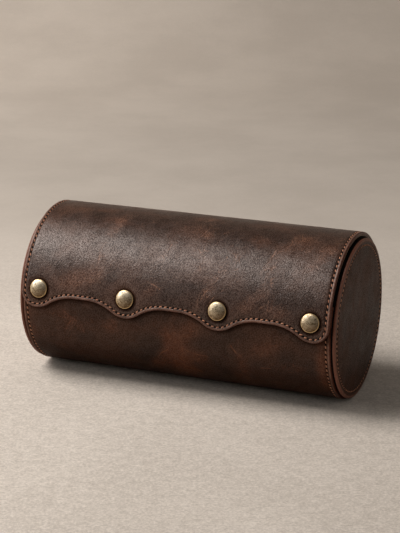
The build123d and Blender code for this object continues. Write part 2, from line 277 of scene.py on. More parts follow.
# How many cells of each kind of grain go to a metre of hide
CLOUDS, WARP, BLOTCHES, UNEVEN, WAX = 30, 42, 44, 190, 60
LONG_HAIRS, CRACKLE, BROKEN = 105, 420, 260
PORES, PATCHES, FOLDS, PEBBLES = 1450, 270, 330, 1250
SCRATCH_WIDTH = 0.52 * MM


def waxed_leather(
    name, shift, dark, mid, red, pale, edge, bead, rough, shine, band=0.0, grit=1.0, lines=()
):
    """Oiled pull-up leather: clouds of dark and red brown, fine grain and hairline scratches."""
    f = Finish(name)
    place = f.turned(f.kept("hide_place"), shift=shift)
    reddish, darkened, scratched = f.node("SeparateXYZ", {0: f.kept("wear")}).outputs
    warp = f.vector("SUBTRACT", f.noise(place, WARP, out="Color"), (0.5, 0.5, 0.5))
    warp = f.vector("SCALE", warp, 0.018)
    bent = f.vector("ADD", place, warp)

    colour = f.blend(f.steps(f.noise(bent, CLOUDS, 6.0, 0.6), 0.34, 0.66), dark, mid)
    reds = f.noise(f.turned(bent, shift=(0.31, 0.17, 0)), BLOTCHES, 5.0, 0.58)
    reds = f.steps(f.plus(reds, f.times(reddish, 0.75)), 0.50, 1.0)
    colour = f.blend(f.times(reds, 0.8), colour, red)
    # darker clouds at random and where the hide is marked darker; along the top of the flap this is
    # painted shade
    darks = f.noise(f.turned(bent, shift=(0.77, 0.05, 0)), BLOTCHES, 5.0, 0.6)
    darks = f.steps(f.plus(darks, darkened), 0.60, 1.05)
    colour = f.blend(f.times(darks, 0.8), colour, dark)

    # hairlines where the oil has moved out of a crease: level lines of a stretched noise
    long_hairs = f.level_lines(f.noise(f.stretched(bent, 1.1, 3.0), LONG_HAIRS, 2.5), 0.010)
    where = f.steps(f.plus(f.noise(place, WAX), scratched), 0.48, 0.95)
    long_hairs = f.times(long_hairs, where)
    drawn = 0.0
    if lines:
        drawn_on = f.vector("ADD", place, f.vector("SCALE", warp, 0.4))
        moved = [[Vector(point) + Vector(shift) for point in line] for line in lines]
        drawn = f.drawn_lines(drawn_on, moved, SCRATCH_WIDTH)
        drawn = f.times(drawn, f.steps(f.noise(place, BROKEN, 3.0, 0.6), 0.36, 0.58, 0.2, 1.0))
    crackle = f.level_lines(f.noise(f.stretched(bent, 0.7, 1.9), CRACKLE, 4.0, 0.6), 0.024)
    crackle = f.times(crackle, f.steps(f.plus(reds, scratched), 0.0, 1.0, 0.18, 1.0))
    marks = f.number("MAXIMUM", f.times(long_hairs, 0.32), f.times(crackle, 0.27))
    marks = f.number("MAXIMUM", marks, f.times(drawn, 0.5))
    colour = f.blend(marks, colour, pale)

    pores = f.noise(f.stretched(place, 1.1, 1.35), PORES, 2.0, 0.7)
    patches = f.noise(f.stretched(bent, 1.1, 1.4), PATCHES, 4.0, 0.62)
    grain = f.mixed((pores, 0.74), (patches, 0.26))
    shade = f.blend(f.steps(grain, 0.37, 0.61), srgb(164, 158, 154), srgb(255, 255, 255))
    colour = f.blend(grit, colour, shade, "MULTIPLY")

    # the cut edge is rubbed down and takes more dye, and the bead next to it is worn paler,
    # a colour that also stands in for the highlight along the bead (painted highlight)
    rim = f.kept("edge_distance", "Fac")
    if band:
        colour = f.blend(f.steps(rim, 2.6, 4.0, band, 0.0), colour, edge)
    worn_and_highlight = f.times(f.steps(rim, 0.9, 1.9, 1.0, 0.0), f.steps(rim, 0.35, 0.75))
    uneven = f.steps(f.noise(place, UNEVEN, 4.0), 0.3, 0.7, 0.25, 1.0)
    colour = f.blend(f.steps(rim, 0.25, 0.8, 0.92, 0.0), colour, edge)
    colour = f.blend(f.times(f.times(worn_and_highlight, uneven), 0.65), colour, bead)

    # painted shade: the underside, a strip below the flap's closed edge and a ring round each
    # stud are painted darker and duller; just under that edge lies a narrow line of rubbed dirt
    soil = f.kept("soil", "Fac")
    colour = f.blend(f.times(soil, 0.5), colour, srgb(12, 7, 5))
    sheen = f.times(f.steps(soil, 0.0, 0.8, shine, 0.04), f.steps(grain, 0.36, 0.61, 0.32, 1.45))
    if band:
        sheen = f.plus(sheen, f.steps(rim, 0.0, 2.2, 0.5, 0.0))

    pebbles = {"Vector": f.turned(bent, (1.0, 1.15, 1)), "Scale": PEBBLES}
    pebbles = f.node("TexVoronoi", pebbles, feature="SMOOTH_F1").outputs["Distance"]
    folds = f.noise(f.stretched(bent, 1.1, 1.8), FOLDS, 4.0, 0.62)
    waves = f.noise(f.turned(place, (1.0, 1.3, 1)), WARP)
    relief = (waves, 0.7, 0.8), (f.times(marks, -1.0), 0.08, 0.8), (folds, 0.14, 0.5)
    normal = None
    for height, distance, strength in (*relief, (pores, 0.2, 0.8), (pebbles, 0.14, 0.7)):
        normal = f.bump(height, distance * MM, strength, normal)
    waxed = f.steps(f.noise(bent, WAX, 5.0, 0.6), 0.3, 0.75, rough - 0.04, rough + 0.08)
    waxed = f.plus(waxed, f.times(reds, 0.06))
    tint = (1.0, 0.88, 0.82, 1.0) if grit == 1.0 else (1.0, 0.82, 0.72, 1.0)
    # the plain level of shine, under the one that is linked to it
    f.shader.inputs["Specular IOR Level"].default_value = shine
    return f.finish(colour, waxed, Normal=normal, Specular_IOR_Level=sheen, Specular_Tint=tint)


def suede(name, dark, light):
    """Split hide with a short brushed nap."""
    f = Finish(name)
    where = f.kept("hide_place")
    strokes = f.noise(f.stretched(where, 1.2, 2.0), 75, 5.0, 0.6, 0.4)
    fibres = f.noise(f.stretched(where, 0.9, 1.6), 1000, 4.0, 0.7)
    nap = f.noise(where, 2600, 3.0, 0.7)
    tone = f.mixed((strokes, 0.45), (fibres, 0.35), (nap, 0.2))
    colour = f.blend(f.steps(tone, 0.38, 0.62), dark, light)
    normal = f.bump(nap, 0.2 * MM, 0.6, f.bump(fibres, 0.3 * MM, 0.6))
    fixed = {"Specular_IOR_Level": 0.2, "Sheen_Weight": 0.35, "Sheen_Roughness": 0.5}
    return f.finish(colour, 0.93, Normal=normal, **fixed)


def aged_brass():
    """Cast brass gone brown in its hollows and rubbed in short strokes, with painted light: a
    highlight on the top of each cap, shade on its lower right and a lighter ring at its rim
    for the reflection in its rolled edge.
    """
    f = Finish("aged_brass")
    where = f.place()

    # where a point lies on the face of its own press stud
    angle = math.radians(SNAP_ANGLE)
    from_axis = f.turned(where, shift=(0, 0, -AXIS * MM))
    upward = f.vector("DOT_PRODUCT", from_axis, (0, math.sin(angle), math.cos(angle)))
    station = f.node("SeparateXYZ", {0: where}).outputs[0]
    across = 0.0
    for place in SNAPS:
        off = f.number("SUBTRACT", station, place * MM)
        closer = f.number("LESS_THAN", f.number("ABSOLUTE", off), 10 * MM)
        across = f.plus(across, f.times(off, closer))
    spot = f.node("CombineXYZ", {0: across, 1: upward}).outputs[0]
    away = f.vector("LENGTH", spot)
    outwards = f.node("CombineXYZ", {2: f.times(away, 180)}).outputs[0]
    ray = f.vector("ADD", f.vector("NORMALIZE", spot), outwards)

    strokes = f.noise(ray, 9, 3.0, 0.6)
    brushed = f.noise(where, 1500, 5.0, 0.7, 1.2)
    blots = f.noise(where, 620, 4.0, 0.6, 0.4)
    tone = f.mixed((brushed, 0.45), (blots, 0.3), (strokes, 0.25))
    colour = f.blend(f.steps(tone, 0.40, 0.58), srgb(96, 78, 54), srgb(228, 208, 176))

    # painted highlight: the top of each cap is painted lighter, and the left ones most
    painted_highlight = f.steps(upward, -1 * MM, 4 * MM)
    painted_highlight = f.times(painted_highlight, f.steps(station, -100 * MM, 100 * MM, 0.8, 0.1))
    painted_highlight = f.times(painted_highlight, f.steps(tone, 0.4, 0.58, 0.25, 1.0))
    colour = f.blend(painted_highlight, colour, srgb(248, 234, 208))

    # painted shade at the foot of each cap, on its lower right side
    foot = f.number("SUBTRACT", upward, f.times(across, 0.55))
    colour = f.blend(f.steps(foot, -6 * MM, 4 * MM, 0.88, 0.0), colour, srgb(78, 55, 33))
    # painted reflection: a lighter ring at the rim of each cap
    colour = f.blend(f.steps(away, 4.84 * MM, 5 * MM, 0.0, 0.85), colour, srgb(216, 183, 132))
    rough = f.steps(tone, 0.35, 0.65, 0.46, 0.34)
    return f.finish(colour, rough, Normal=f.bump(tone, 0.06 * MM, 0.6), Metallic=1.0)


def waxed_thread():
    """Twisted linen thread, waxed and darkened by handling, with a painted highlight
    on its twist.
    """
    f = Finish("waxed_thread")
    where = f.place()
    soil, twist_and_highlight = f.noise(where, 130, 3.0, 0.6), f.noise(where, 2400, 2.0)
    colour = f.blend(f.steps(soil, 0.3, 0.7), srgb(138, 84, 58), srgb(184, 124, 90))
    # painted highlight along the twist of the thread
    colour = f.blend(f.steps(twist_and_highlight, 0.4, 0.75, 0.0, 0.35), colour, srgb(222, 170, 136))
    return f.finish(colour, 0.55, Normal=f.bump(twist_and_highlight, 0.06 * MM, 0.7))


def painted_hole_shade():
    """Painted shade: a near-black blob standing for the dark inside of an awl hole."""
    f = Finish("awl_hole")
    colour = f.blend(f.noise(f.place(), 1800, 2.0), srgb(9, 7, 6), srgb(24, 16, 13))
    return f.finish(colour, 0.9, Specular_IOR_Level=0.1)


def pressed_board(name, dark, light, rough, shine, *grain, drawn_out=False):
    """Pressed millboard, bare, or near black as painted shade, with its short fibres."""
    f = Finish(name)
    where = f.turned(f.place(), (1, 3, 3), 0.4) if drawn_out else f.place()
    fibres = f.noise(where, *grain)
    colour = f.blend(f.steps(fibres, 0.35, 0.7), dark, light)
    normal = f.bump(fibres, 0.2 * MM, 0.5)
    return f.finish(colour, rough, Normal=normal, Specular_IOR_Level=shine)


def on_hide(lines, radius, turn=0):
    """Lines in stations and degrees as points of a hide bent round the roll, in metres."""
    return [
        [(x * MM, math.radians(turn + angle) * radius * MM, 0) for x, angle in line]
        for line in lines
    ]


TONES = {
    "dark": srgb(51, 34, 27), "mid": srgb(78, 52, 40), "red": srgb(104, 66, 47),
    "pale": srgb(178, 130, 103), "edge": srgb(86, 44, 29), "bead": srgb(144, 106, 90),
}
BODY_TONES = {
    **TONES, "dark": srgb(48, 31, 23), "mid": srgb(70, 45, 33), "red": srgb(99, 58, 39),
    "pale": srgb(146, 88, 58),
}
FACING_TONES = {
    "dark": srgb(61, 39, 28), "mid": srgb(77, 48, 34), "red": srgb(96, 58, 40),
    "pale": srgb(170, 116, 90), "edge": srgb(112, 63, 44), "bead": srgb(158, 102, 78),
}
ROLL_LEATHER = waxed_leather(
    "roll_leather", (0, 0, 0), **TONES, rough=0.36, shine=0.5,
    lines=on_hide(FLAP_LINES, FLAP_RADIUS),
)
BODY_LEATHER = waxed_leather(
    "body_leather", (0.43, 0.27, 0), **BODY_TONES, rough=0.5, shine=0.27, grit=0.6,
    lines=on_hide(WRAP_LINES, WRAP_RADIUS, 360),
)
FACING_LEATHER = waxed_leather(
    "facing_leather", (0.9, 0.63, 0), **FACING_TONES, rough=0.5, shine=0.12, band=0.3
)
SUEDE = suede("tan_suede", srgb(112, 86, 64), srgb(158, 126, 96))
BRASS = aged_brass()
THREAD = waxed_thread()
HOLE = painted_hole_shade()
BOARD = pressed_board(
    "grey_board", srgb(96, 84, 70), srgb(140, 126, 108), 0.9, 0.2, 700, 5.0, 0.7, 1.0,
    drawn_out=True,
)
# the end boards are near black, painted shade for the groove round each facing where they show
SHADE_BLACK_BOARD = pressed_board("shade_black_board", srgb(13, 10, 9), srgb(30, 22, 19), 0.8, 0.25, 900, 4.0, 0.65)


# ---------------------------------------------------------------- shaping


def around(x, angle, radius):
    """Points at stations x, angles in radians and distances from the roll's axis."""
    x, angle, radius = np.broadcast_arrays(x, angle, radius)
    return np.stack([x, -radius * np.cos(angle), AXIS + radius * np.sin(angle)], -1)


def wear_at(flat, marks, radius):
    """Redness, darkness and scratches at points (station, distance round) on the hide."""
    wear = np.zeros((len(flat), 3))
    for x, angle, long, wide, lean, *amounts in marks:
        lean = math.radians(lean)
        across, up = flat[:, 0] - x, flat[:, 1] - math.radians(angle) * radius
        u = (across * math.cos(lean) + up * math.sin(lean)) / long
        v = (up * math.cos(lean) - across * math.sin(lean)) / wide
        wear += np.exp(-(u**2) - v**2)[:, None] * np.array(amounts)
    return wear


def piece(name, points, faces, material, hide=None, sharp=38, **kept):
    """A closed mesh from points in millimetres, with its place on the hide and what it keeps."""
    mesh = bpy.data.meshes.new(name)
    mesh.from_pydata((np.asarray(points) * MM).tolist(), [], faces)
    if hide is not None:
        store(mesh, "hide_place", np.asarray(hide, np.float32) * MM)
    for key, values in kept.items():
        store(mesh, key, values)
    work = bmesh.new()
    work.from_mesh(mesh)
    bmesh.ops.remove_doubles(work, verts=work.verts, dist=1e-6)
    bmesh.ops.recalc_face_normals(work, faces=work.faces)
    work.to_mesh(mesh)
    work.free()
    mesh.shade_smooth()
    mesh.set_sharp_from_angle(angle=math.radians(sharp))
    mesh.materials.append(material)
    return added(name, mesh)


def skin(rings, shut=True):
    """Faces between rings of equal count, numbered one after the other. Shut, they close on
    themselves and the first and last are filled."""
    count, size = len(rings), len(rings[0])
    faces = []
    for r in range(count - 1):
        for i in range(size if shut else size - 1):
            j = (i + 1) % size
            faces.append((r * size + i, r * size + j, (r + 1) * size + j, (r + 1) * size + i))
    if shut:
        faces.append(tuple(range(size)))
        faces.append(tuple(range((count - 1) * size, count * size)))
    return faces


def running(line):
    """How far along a line each of its points is."""
    steps = np.linalg.norm(np.diff(line, axis=0), axis=1)
    return np.concatenate([[0], np.cumsum(steps)])


def points_at(line, places):
    """Points at distances along a line."""
    run = running(line)
    return np.stack([np.interp(places, run, line[:, k]) for k in range(line.shape[1])], -1)


def spread(line, count):
    """The same line with its points spaced evenly."""
    line = np.asarray(line, float)
    return points_at(line, np.linspace(0, running(line)[-1], count))


def circle(count):
    """Angles in radians, evenly round a full turn."""
    return np.radians(np.linspace(0, 360, count, endpoint=False))


def arc(cx, cy, radius, start, end, count=60):
    """Points of a circle round a centre, from one angle in degrees to another."""
    a = np.radians(np.linspace(start, end, count))
    return np.stack([cx + radius * np.cos(a), cy + radius * np.sin(a)], -1)


def scalloped_edge():
    """The flap's front edge as (station, level above the axis), from corner to corner."""
    both = LOBE_RADIUS + SHOULDER_RADIUS
    turn = math.degrees(math.acos(1 - SCALLOP_DEPTH / both))
    reach = both * math.sin(math.radians(turn))
    middle, under = LOBE_LEVEL + LOBE_RADIUS, LOBE_LEVEL + SCALLOP_DEPTH - SHOULDER_RADIUS
    corner = LOBE_LEVEL + CORNER_RADIUS
    line = [arc(-FLAP_HALF + CORNER_RADIUS, corner, CORNER_RADIUS, 180, 270)]
    for left, right in zip(LOBES[:-1], LOBES[1:]):
        line.append(arc(left, middle, LOBE_RADIUS, 270, 270 + turn))
        line.append(arc(left + reach, under, SHOULDER_RADIUS, 90 + turn, 90))
        line.append(arc(right - reach, under, SHOULDER_RADIUS, 90, 90 - turn))
        line.append(arc(right, middle, LOBE_RADIUS, 270 - turn, 270))
    line.append(arc(FLAP_HALF - CORNER_RADIUS, corner, CORNER_RADIUS, 270, 360))
    line = np.vstack(line)
    keep = np.concatenate([[True], np.linalg.norm(np.diff(line, axis=0), axis=1) > 1e-6])
    return line[keep]


def three_sides(edge, seam, side_count, front_count):
    """Left side, front edge and right side of a sheet's outline, split at its corners."""
    corner = int(np.argmax((edge[:, 0] - edge[0, 0]) > (1 - math.sqrt(0.5)) * CORNER_RADIUS))
    left = np.vstack([[edge[0, 0], seam], edge[: corner + 1]])
    right = left[::-1] * (-1, 1)
    front = edge[corner : len(edge) - corner]
    return spread(left, side_count), spread(front, front_count), spread(right, side_count)


def outline_of(sides):
    """The left side, front edge and right side of a sheet as one open outline."""
    left, front, right = sides
    return np.vstack([left, front[1:], right[1:]])


def inward(outline):
    """Unit normals of an open outline, towards the sheet."""
    along = np.gradient(outline, axis=0)
    along[0], along[-1] = outline[1] - outline[0], outline[-1] - outline[-2]
    along /= np.linalg.norm(along, axis=1)[:, None]
    normal = np.stack([-along[:, 1], along[:, 0]], -1)
    middle = outline.mean(0)
    if np.sum((middle - outline) * normal) < 0:
        normal = -normal
    return normal


def patch(ring, side_count, front_count):
    """A grid that fills the inside of a ring with three sides, up to the line of its ends."""
    left = ring[:side_count]
    front = ring[side_count - 1 : side_count - 1 + front_count]
    right = ring[side_count - 2 + front_count :][::-1]
    share = (front[:, 0] - front[0, 0]) / (front[-1, 0] - front[0, 0])
    seam = left[0] + (right[0] - left[0]) * share[:, None]
    v = np.linalg.norm(left - left[0], axis=1)
    v = (v / v[-1])[:, None, None]
    u = share[None, :, None]
    straight = (1 - v) * seam[None] + v * front[None]
    across = (1 - u) * left[:, None] + u * right[:, None]
    start, end = ((1 - u) * left[k] + u * right[k] for k in (0, -1))
    corners = (1 - v) * start + v * end
    return straight + across - corners


def lofted(name, rings, material, hide, near, **kept):
    """A closed piece through rings of points, with each point's distance from a cut edge."""
    kept = {"edge_distance": near, **kept}
    return piece(name, np.vstack(rings), skin(rings), material, np.vstack(hide), **kept)


def between(a, b):
    """Faces between two rows of point numbers."""
    return [(a[i], a[i + 1], b[i + 1], b[i]) for i in range(len(a) - 1)]


def bent_sheet(name, sides, radius, profile, material, dent=None, soil=None):
    """A sheet of leather bent round the roll. sides are lines in (station, distance round at
    the outer radius), and profile holds (inset, depth) from its face, round the cut edge, to
    its back."""
    outline = outline_of(sides)
    normal = inward(outline)
    points, hide, rim, faces = [], [], [], []

    def lay(flat, depth, inset):
        flat = np.asarray(flat, float).reshape(-1, 2)
        depth = np.broadcast_to(np.asarray(depth, float), len(flat))
        if dent is not None:
            depth = depth + dent(flat) * (depth < FACE_DEPTH)
        start = sum(len(p) for p in points)
        points.append(around(flat[:, 0], flat[:, 1] / radius, radius - depth))
        hide.append(np.column_stack([flat, depth]))
        rim.append(np.full(len(flat), inset))
        return np.arange(start, start + len(flat))

    rings = [
        lay(outline + normal * inset, depth, inset if depth < FACE_DEPTH else 0.0)
        for inset, depth in profile
    ]
    for a, b in zip(rings[:-1], rings[1:]):
        faces += between(a, b)
    rows, columns = len(sides[0]), len(sides[1])
    ends = []
    for ring, (inset, depth) in ((rings[0], profile[0]), (rings[-1], profile[-1])):
        grid = patch(outline + normal * inset, rows, columns)
        numbers = lay(grid.reshape(-1, 2), depth, inset).reshape(rows, columns)
        numbers[:, 0] = ring[:rows]
        numbers[-1, :] = ring[rows - 1 : rows - 1 + columns]
        numbers[:, -1] = ring[rows - 2 + columns :][::-1]
        for a, b in zip(numbers[:-1], numbers[1:]):
            faces += between(a, b)
        ends.append(numbers[0])
    faces += between(*ends)
    faces += [tuple(ring[k] for ring in rings) for k in (0, -1)]

    points, hide, rim = np.vstack(points), np.vstack(hide), np.concatenate(rim)
    used, flat_faces = np.zeros(len(points), bool), [i for face in faces for i in face]
    used[flat_faces] = True
    number = np.cumsum(used) - 1
    faces = [tuple(int(number[i]) for i in face) for face in faces]
    kept = {"edge_distance": rim[used], "wear": wear_at(hide[used], FLAP_MARKS, radius)}
    if soil is not None:
        kept["soil"] = soil(hide[used])
    return piece(name, points[used], faces, material, hide[used], **kept)


# Depth of a sheet's face at distances in from its cut edge: a rubbed round, a low bead, the
# line that the stitches pull down, then flat. It goes on round the edge to the back.
LEATHER_FACE = [
    (4.8, 0.0), (3.9, 0.0), (3.3, 0.06), (2.85, 0.22), (2.5, 0.42), (2.15, 0.5), (1.9, 0.42),
    (1.65, 0.25), (1.42, 0.09), (1.2, 0.01), (0.8, 0.0), (0.48, 0.06), (0.24, 0.2), (0.07, 0.45),
    (0.0, 0.8),
]


def leather_profile(thickness):
    """Profile of a leather sheet: its face, its rounded cut edge and its back."""
    flat_from = LEATHER_FACE[0][0]
    return LEATHER_FACE + [(0.0, thickness - 0.3), (0.2, thickness), (flat_from, thickness)]


def lining_profile(thickness):
    """Profile of a suede lining, with a plain cut edge."""
    flat_from = 4.6
    edge = [(0.5, 0.0), (0.3, 0.05), (0.2, 0.25), (0.22, thickness - 0.2), (0.4, thickness)]
    return [(flat_from, 0.0), *edge, (flat_from, thickness)]


def from_studs(flat, radius, shift=(0.0, 0.0)):
    """How far places on a hide are from the nearest press stud."""
    level = math.radians(SNAP_ANGLE) * radius
    x, y = flat[:, 0] - shift[0], flat[:, 1] - level - shift[1]
    return np.min([np.hypot(x - place, y) for place in SNAPS], axis=0)


def pressed(away, depth, flat_to, fade):
    """A round seat, flat in its middle and faded out at its edge."""
    return depth * (1 - np.clip((away - flat_to) / fade, 0, 1) ** 2) ** 2


def cap_seat(flat):
    """The leather is pressed down under and close round each press stud."""
    return pressed(from_studs(flat, FLAP_RADIUS), 0.5, 5.3, 2.3)


def stud_seat(flat):
    """The leather is pressed down under the flange of each stud's lower half."""
    return pressed(from_studs(flat, WRAP_RADIUS), 0.33, 4.0, 1.8)


def cap_shadow(flat):
    """Painted shadow in the leather round each press stud's cap, a ring set off towards
    the lower right.
    """
    away = from_studs(flat, FLAP_RADIUS, shift=(0.5, -0.35))
    return 1.5 * np.clip((7.3 - away) / 1.9, 0, 1)


def edge_shadow_and_rub(flat):
    """Painted shadow on the wrap below the line where the flap's cut edge lies when it is closed,
    and a narrower line of rubbed dirt just under that edge.
    """
    edge = spread(scalloped_edge(), 420)
    edge[:, 1] = WRAP_RADIUS * np.arcsin(edge[:, 1] / FLAP_RADIUS)
    if np.abs(flat[0, 1] - edge[:, 1]).min() > 6:
        return np.zeros(len(flat))
    off = flat[:, None, :] - edge[None]
    away = np.hypot(off[..., 0], off[..., 1]).min(axis=1)
    covered = flat[:, 1] > np.interp(flat[:, 0], edge[:, 0], edge[:, 1])
    under_flap = 0.7 * np.clip(1 - away / 1.6, 0, 1)
    below_flap = 1.15 * np.clip(1 - away / 3.6, 0, 1) ** 1.2
    return np.where(covered, under_flap, below_flap)


def front_sides(radius, side_count, front_count):
    """Outline of the flap from the seam to its scalloped edge, on a cylinder of a radius."""
    edge = scalloped_edge()
    edge[:, 1] = radius * np.arcsin(edge[:, 1] / radius)
    return three_sides(edge, math.radians(SEAM) * radius, side_count, front_count)


def rear_sides(radius, side_count, front_count):
    """Outline of the flap's rear, from the seam to the cut end of the glued strip."""
    end = math.radians(STRIP_END) * radius
    r = CORNER_RADIUS
    corners = [arc(r - FLAP_HALF, end - r, r, 180, 90), arc(FLAP_HALF - r, end - r, r, 90, 0)]
    return three_sides(np.vstack(corners), math.radians(SEAM) * radius, side_count, front_count)


flap_leather = leather_profile(1.58)
flap_front = bent_sheet(
    "flap_front_hide", front_sides(FLAP_RADIUS, 90, 190), FLAP_RADIUS, flap_leather, ROLL_LEATHER,
    cap_seat, cap_shadow,
)
flap_rear = bent_sheet(
    "flap_rear_hide", rear_sides(FLAP_RADIUS, 36, 150), FLAP_RADIUS, flap_leather, ROLL_LEATHER
)
front_lining = bent_sheet(
    "flap_front_suede", front_sides(FLAP_SEAM, 60, 150), FLAP_SEAM, lining_profile(0.8), SUEDE
)
rear_lining = bent_sheet(
    "flap_rear_suede", rear_sides(FLAP_SEAM, 30, 120), FLAP_SEAM, lining_profile(0.85), SUEDE
)


def sweep_round(name, section, angles, material, flat=False, dent=None, soil=None):
    """A closed section of (station, distance from the axis, rim) swept round the axis. Angles
    past a full turn are on the front, below the level of the axis. A flat one is pressed
    level where it rests on the floor."""
    underside, shade_reach, shade_fade = 270, 88, 54  # degrees round
    pressed_thin = 0.9  # share of its thickness that a flat one keeps on the floor
    station, reach, near = np.asarray(section, float).T
    rings, hide, shade_and_rub_line = [], [], []
    for angle in np.radians(angles):
        spot = np.column_stack([station, np.full_like(station, (angle - math.tau) * WRAP_RADIUS)])
        outer = reach
        if dent is not None:
            outer = reach - dent(spot) * (reach > BOARD_RADIUS + 1)
        ring = around(station, angle, outer)
        if flat:
            ring[:, 2] = np.maximum(ring[:, 2], (WRAP_RADIUS - reach) * pressed_thin)
        rings.append(ring)
        place = [station, np.full_like(station, angle * WRAP_RADIUS), outer - WRAP_RADIUS]
        hide.append(np.column_stack(place))
        # painted shade: the leather is painted darker towards the underside, where little light
        # reaches
        low = (shade_reach - abs(math.degrees(angle) - underside)) / shade_fade
        low = np.clip(low, 0, 1)
        low = np.full_like(station, low * low * (3 - 2 * low))
        shade_and_rub_line.append(low if soil is None else np.maximum(low, soil(spot)))
    hide, near = np.vstack(hide), np.tile(near, len(rings))
    wear = wear_at(hide[:, :2] - (0, math.tau * WRAP_RADIUS), WRAP_MARKS, WRAP_RADIUS)
    return lofted(name, rings, material, hide, near, wear=wear, soil=np.concatenate(shade_and_rub_line))


def wrap_section():
    """Section of the body's leather across its width, with its stitch lines and its points
    close together at the press studs."""
    further, bead_ends = WRAP_STITCH - SIDE_STITCH, 1.3
    face = [(inset + further * (inset > bead_ends), depth) for inset, depth in LEATHER_FACE]
    right = [(WRAP_HALF - inset, WRAP_RADIUS - depth, inset) for inset, depth in face]
    right += [(WRAP_HALF, BOARD_RADIUS + 0.3, 0.0), (WRAP_HALF - 0.2, BOARD_RADIUS + 0.02, 0.0)]
    left = [(-x, r, d) for x, r, d in reversed(right)]
    reach = WRAP_HALF - 6
    stations = list(np.linspace(-reach, reach, 130))
    for place in SNAPS:
        stations += [x for x in np.arange(place - 6.3, place + 6.4, 0.7) if abs(x) < reach]
    stations = np.unique(np.round(stations, 2))
    stations = stations[np.concatenate([[True], np.diff(stations) > 0.2])]
    return left + [(x, WRAP_RADIUS, PLAIN) for x in stations] + right


lip_angles = (BACK_LIP, 360 + FRONT_LIP)
studs_from = 346  # the wrap is finer from here up to its front lip
wrap_angles = [np.arange(BACK_LIP, studs_from, 1.6), np.arange(studs_from, lip_angles[1], 0.8)]
wrap_angles = np.concatenate([*wrap_angles, [lip_angles[1]]])
wrap = sweep_round(
    "body_hide", wrap_section(), wrap_angles, BODY_LEATHER, True, stud_seat, edge_shadow_and_rub
)
lining_section = [(x, r, PLAIN) for x, r in (
    (-BOARD_HALF, LINING_RADIUS - 0.02), (BOARD_HALF, LINING_RADIUS - 0.02),
    (BOARD_HALF, ROOM_RADIUS), (BOARD_HALF - 2, ROOM_RADIUS), (0, ROOM_RADIUS),
    (-BOARD_HALF + 2, ROOM_RADIUS), (-BOARD_HALF, ROOM_RADIUS),
)]
body_lining = sweep_round("body_suede", lining_section, np.linspace(*lip_angles, 124), SUEDE)


def turned_disc(name, side, profile, material, segments=192):
    """A round piece turned about the roll's axis from (radius, station, rim) points."""
    rings, hide, rim = [], [], []
    for radius, station, near in profile:
        ring = around(side * station, circle(segments), radius)
        rings.append(ring)
        depth = np.full(segments, station - FACING_OUTER)
        hide.append(np.column_stack([ring[:, 1] * side, ring[:, 2] - AXIS, depth]))
        rim.append(np.full(segments, near))
    return lofted(name, rings, material, hide, np.concatenate(rim))


# The facing's flat face, the groove that its stitches lie in, then its rounded cut edge
stitch_groove = [
    (1.6, 0.0), (1.0, 0.04), (0.55, 0.14), (0.0, 0.24), (-0.45, 0.15), (-0.9, 0.03), (-1.6, 0.0)
]
cut_edge = [
    (1.6, 0.0), (1.0, 0.03), (0.6, 0.12), (0.28, 0.3), (0.08, 0.55), (0.0, 0.85), (0.06, 1.2),
    (0.25, 1.5), (0.55, 1.68),
]
facing_profile = [(radius, FACING_OUTER, PLAIN) for radius in (3, 18, 34)]
facing_profile += [(FACING_STITCH - away, FACING_OUTER - d, 4.0) for away, d in stitch_groove]
facing_profile += [
    (FACING_RADIUS - inset, FACING_OUTER - d, inset if d < FACE_DEPTH else 0.0)
    for inset, d in cut_edge
]
facing_profile += [(40, FACING_INNER, 5), (3, FACING_INNER, PLAIN)]

lining_face, lining_back = BOARD_HALF - 0.8, BOARD_HALF - 0.02
end_profile = [(radius, station, PLAIN) for radius, station in (
    (2, lining_back), (ROOM_RADIUS - 0.06, lining_back), (ROOM_RADIUS - 0.06, lining_face + 0.2),
    (ROOM_RADIUS - 0.25, lining_face), (30, lining_face), (2, lining_face),
)]

facings, end_linings = {}, {}
for name, side in SIDES.items():
    facings[name] = turned_disc(f"facing_hide_{name}", side, facing_profile, FACING_LEATHER)
    end_linings[name] = turned_disc(f"end_suede_{name}", side, end_profile, SUEDE, 120)


def stud_caps():
    """The caps of the press studs, each a low face inside a rolled rim, on its shank, turned
    from (radius, height over its foot)."""
    profile = [
        (0.3, 2.0), (1.6, 1.92), (2.7, 1.76), (3.5, 1.57), (4.1, 1.38), (4.5, 1.22), (4.75, 1.10),
        (4.9, 1.01), (4.97, 0.96), (5.03, 0.96), (5.11, 0.94), (5.21, 0.87), (5.3, 0.75),
        (5.34, 0.6), (5.35, 0.4), (5.32, 0.2), (5.15, 0.0), (1.5, 0.0), (1.5, -0.35),
        (1.9, -0.35), (1.9, -0.65), (0.9, -0.65), (0.9, 0.0),
    ]
    angle = math.radians(SNAP_ANGLE)
    turns = circle(72)
    points, faces = [], []
    for place in SNAPS:
        rings = []
        for radius, height in profile:
            out, up = CAP_SEAT + height, radius * np.sin(turns)
            rings.append(np.stack([
                place + radius * np.cos(turns),
                -out * math.cos(angle) + up * math.sin(angle),
                AXIS + out * math.sin(angle) + up * math.cos(angle),
            ], -1))
        start = sum(len(p) for p in points)
        faces += [tuple(start + i for i in face) for face in skin(rings)]
        points += rings
    return piece("stud_caps", np.vstack(points), faces, BRASS, sharp=50)


